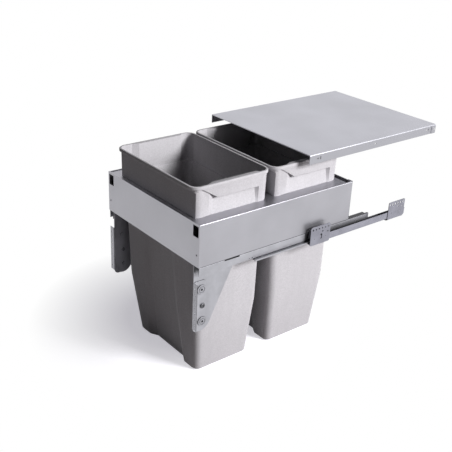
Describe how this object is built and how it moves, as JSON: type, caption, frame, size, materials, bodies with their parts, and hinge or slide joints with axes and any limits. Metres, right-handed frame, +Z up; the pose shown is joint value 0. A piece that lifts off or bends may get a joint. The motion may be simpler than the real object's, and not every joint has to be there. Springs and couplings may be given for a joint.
{
  "type": "pull out trash cabinet",
  "caption": "Pull-out waste unit for a kitchen base cabinet: bins in a sheet steel carrier on telescopic ball runners, with a fixed lid and door brackets.",
  "frame": {"origin": "centre of the bounding box in plan, level with the feet of the bins", "axes": "+X across the unit, +Y back into the cabinet, +Z up; the front panel faces -Y"},
  "size_m": [0.412, 0.788, 0.5384],
  "materials": {
    "bearing_steel": "polished steel",
    "bin_plastic": "moulded polypropylene, light grey, fine texture",
    "black_plastic": "moulded, black",
    "bracket_zinc": "zinc plated, pressed",
    "cage_plastic": "moulded nylon, grey",
    "fasteners": "zinc plated",
    "frame_paint": "smooth satin powder coat, grey",
    "lid_paint": "smooth satin powder coat, light grey",
    "runner_zinc": "zinc plated, rolled"
  },
  "bodies": {
    "cabinet_fixings": {"lid": "lid_paint", "lid_rivets": "fasteners", "cabinet_member_right": "runner_zinc", "front_plate_right": "bracket_zinc", "rear_plate_right": "bracket_zinc", "plate_rivets_right": "fasteners", "end_clip_right": "black_plastic", "cabinet_member_left": "runner_zinc", "front_plate_left": "bracket_zinc", "rear_plate_left": "bracket_zinc", "plate_rivets_left": "fasteners", "end_clip_left": "black_plastic"},
    "carrier": {"front_panel": "frame_paint", "side_panel_left": "frame_paint", "side_panel_right": "frame_paint", "rear_panel": "frame_paint", "rear_rivets": "fasteners", "bin_deck": "frame_paint", "drawer_member_left": "runner_zinc", "drawer_member_right": "runner_zinc", "bracket_plate_left": "bracket_zinc", "bracket_plate_right": "bracket_zinc", "bracket_rivets": "fasteners", "clamp_screw_left": "fasteners", "clamp_screw_right": "fasteners", "front_bin": "bin_plastic", "rear_bin": "bin_plastic"},
    "middle_right": {"middle_member_right": "runner_zinc"},
    "upper_cage_right": {"upper_cage_right": "cage_plastic", "upper_balls_right": "bearing_steel"},
    "lower_cage_right": {"lower_cage_right": "cage_plastic", "lower_balls_right": "bearing_steel"},
    "door_angle_right": {"door_angle_right": "bracket_zinc"},
    "upper_eccentric_right": {"upper_eccentric_right": "fasteners"},
    "lower_eccentric_right": {"lower_eccentric_right": "fasteners"},
    "middle_left": {"middle_member_left": "runner_zinc"},
    "upper_cage_left": {"upper_cage_left": "cage_plastic", "upper_balls_left": "bearing_steel"},
    "lower_cage_left": {"lower_cage_left": "cage_plastic", "lower_balls_left": "bearing_steel"},
    "door_angle_left": {"door_angle_left": "bracket_zinc"},
    "upper_eccentric_left": {"upper_eccentric_left": "fasteners"},
    "lower_eccentric_left": {"lower_eccentric_left": "fasteners"}
  },
  "joints": [
    {"name": "pull_out", "type": "slide", "parent": "cabinet_fixings", "child": "carrier", "axis": [0, -1, 0], "range_m": [-0.32, 0.16]},
    {"name": "middle_right_travel", "type": "slide", "parent": "cabinet_fixings", "child": "middle_right", "axis": [0, -1, 0], "range_m": [-0.16, 0.08]},
    {"name": "upper_cage_right_travel", "type": "slide", "parent": "cabinet_fixings", "child": "upper_cage_right", "axis": [0, -1, 0], "range_m": [-0.24, 0.12]},
    {"name": "lower_cage_right_travel", "type": "slide", "parent": "cabinet_fixings", "child": "lower_cage_right", "axis": [0, -1, 0], "range_m": [-0.08, 0.04]},
    {"name": "door_angle_right_height", "type": "slide", "parent": "carrier", "child": "door_angle_right", "axis": [0, 0, 1], "range_m": [-0.002, 0.002]},
    {"name": "upper_eccentric_right_turn", "type": "hinge", "parent": "carrier", "child": "upper_eccentric_right", "pos_m": [0.174, -0.3712, 0.267], "axis": [-1, 0, 0], "range_deg": [-42, 42]},
    {"name": "lower_eccentric_right_turn", "type": "hinge", "parent": "carrier", "child": "lower_eccentric_right", "pos_m": [0.174, -0.3672, 0.181], "axis": [-1, 0, 0], "range_deg": [-42, 42]},
    {"name": "middle_left_travel", "type": "slide", "parent": "cabinet_fixings", "child": "middle_left", "axis": [0, -1, 0], "range_m": [-0.16, 0.08]},
    {"name": "upper_cage_left_travel", "type": "slide", "parent": "cabinet_fixings", "child": "upper_cage_left", "axis": [0, -1, 0], "range_m": [-0.24, 0.12]},
    {"name": "lower_cage_left_travel", "type": "slide", "parent": "cabinet_fixings", "child": "lower_cage_left", "axis": [0, -1, 0], "range_m": [-0.08, 0.04]},
    {"name": "door_angle_left_height", "type": "slide", "parent": "carrier", "child": "door_angle_left", "axis": [0, 0, 1], "range_m": [-0.002, 0.002]},
    {"name": "upper_eccentric_left_turn", "type": "hinge", "parent": "carrier", "child": "upper_eccentric_left", "pos_m": [-0.174, -0.3712, 0.267], "axis": [-1, 0, 0], "range_deg": [-42, 42]},
    {"name": "lower_eccentric_left_turn", "type": "hinge", "parent": "carrier", "child": "lower_eccentric_left", "pos_m": [-0.174, -0.3672, 0.181], "axis": [-1, 0, 0], "range_deg": [-42, 42]}
  ],
  "couplings": [
    {"joint": "middle_right_travel", "follows": "pull_out", "ratio": 0.5},
    {"joint": "upper_cage_right_travel", "follows": "pull_out", "ratio": 0.75},
    {"joint": "lower_cage_right_travel", "follows": "pull_out", "ratio": 0.25},
    {"joint": "upper_eccentric_right_turn", "follows": "door_angle_right_height", "rad_per_m": 364.9},
    {"joint": "lower_eccentric_right_turn", "follows": "door_angle_right_height", "rad_per_m": 364.9},
    {"joint": "middle_left_travel", "follows": "pull_out", "ratio": 0.5},
    {"joint": "upper_cage_left_travel", "follows": "pull_out", "ratio": 0.75},
    {"joint": "lower_cage_left_travel", "follows": "pull_out", "ratio": 0.25},
    {"joint": "upper_eccentric_left_turn", "follows": "door_angle_left_height", "rad_per_m": 364.9},
    {"joint": "lower_eccentric_left_turn", "follows": "door_angle_left_height", "rad_per_m": 364.9}
  ]
}
